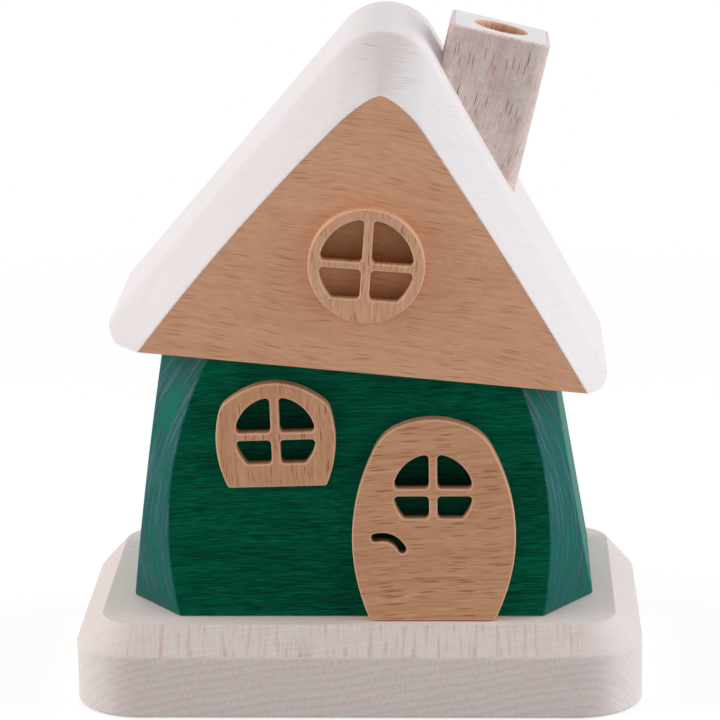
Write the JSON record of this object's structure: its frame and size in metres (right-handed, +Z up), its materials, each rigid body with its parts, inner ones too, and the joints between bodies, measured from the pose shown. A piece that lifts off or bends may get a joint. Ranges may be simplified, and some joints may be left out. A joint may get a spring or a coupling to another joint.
{
  "type": "incense house",
  "caption": "Crooked wooden cottage that lifts off a bevelled base plate, with a smoke chamber, a cone dish, a leaning chimney flue, a door and round-paned windows.",
  "frame": {"origin": "centre of the base plate's underside, on the surface that the house stands on", "axes": "+Z up, +X to the right seen from the front, +Y to the back, so the door looks along -Y"},
  "size_m": [0.125, 0.078, 0.1482],
  "materials": {
    "white_glazed_beech": "thin white glaze over fine grain, satin",
    "white_glazed_roof": "white glaze on the slopes and chamfers, gable face left natural",
    "white_glazed_chimney": "thin white glaze that lets the pink of the wood through",
    "natural_beech": "bare sanded beech with short dark flecks",
    "dowel_beech": "ribbed dowel rod, unfinished",
    "green_stained_beech": "deep green water stain, matt, grain showing",
    "tinned_steel": "bright tinned sheet, slightly dulled by smoke"
  },
  "bodies": {
    "base": {"base_plate": "white_glazed_beech", "locating_disc": "natural_beech", "cone_dish": "tinned_steel", "dish_nail": "tinned_steel"},
    "house": {"house_body": "green_stained_beech", "roof_block": "white_glazed_roof", "chimney": "white_glazed_chimney", "gable_window": "natural_beech", "front_window": "natural_beech", "door": "natural_beech", "roof_dowel_left": "dowel_beech", "roof_dowel_right": "dowel_beech"}
  },
  "joints": [
    {"name": "house_lift", "type": "slide", "parent": "base", "child": "house", "axis": [0, 0, 1], "range_m": [0, 0.12]}
  ]
}
